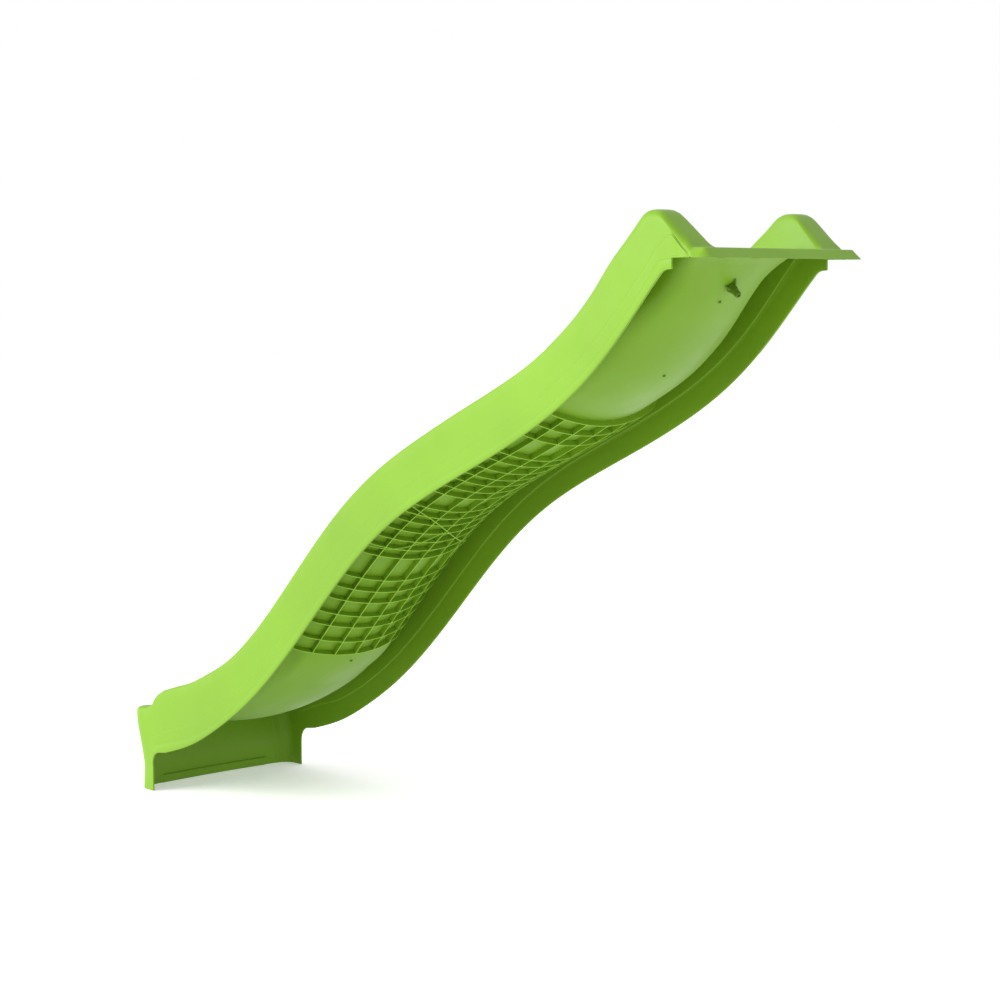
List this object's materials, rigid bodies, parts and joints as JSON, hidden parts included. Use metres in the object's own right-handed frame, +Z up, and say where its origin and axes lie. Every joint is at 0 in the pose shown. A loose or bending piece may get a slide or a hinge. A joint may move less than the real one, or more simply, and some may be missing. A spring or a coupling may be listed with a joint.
{
  "type": "playground slide",
  "caption": "Wave slide for a raised play platform: a moulded trough with side rails, a ribbed underside, a flange that hooks over the platform and a hose fitting.",
  "frame": {"origin": "on the ground, below the middle of the slide's length and width", "axes": "+Z up, +X along the slide from the exit towards the platform, +Y across it"},
  "size_m": [1.788, 0.464, 1.3119],
  "materials": {
    "moulding": "satin, finely grained",
    "fitting": "satin",
    "seal": "matt"
  },
  "bodies": {
    "root": {"bed_crest": "moulding", "bed_exit": "moulding", "bed_lower": "moulding", "bed_middle": "moulding", "bed_upper": "moulding", "boss_gusset_left": "moulding", "boss_gusset_lower": "moulding", "boss_gusset_right": "moulding", "boss_gusset_upper": "moulding", "exit_wall": "moulding", "flange_deck": "moulding", "flange_lip": "moulding", "foot_left": "moulding", "foot_right": "moulding", "hose_boss": "moulding", "hose_connector": "fitting", "nozzle_seal": "seal", "rail_left": "moulding", "rail_right": "moulding", "rib_grid_centre": "moulding", "rib_grid_lower": "moulding", "rib_grid_top": "moulding", "rib_grid_upper": "moulding", "screw_boss_1": "moulding", "screw_boss_2": "moulding", "screw_boss_3": "moulding", "screw_boss_4": "moulding", "side_wall_left": "moulding", "side_wall_right": "moulding", "skirt_left": "moulding", "skirt_right": "moulding", "spray_nozzle": "fitting", "start_hump_left": "moulding", "start_hump_right": "moulding"}
  },
  "joints": []
}
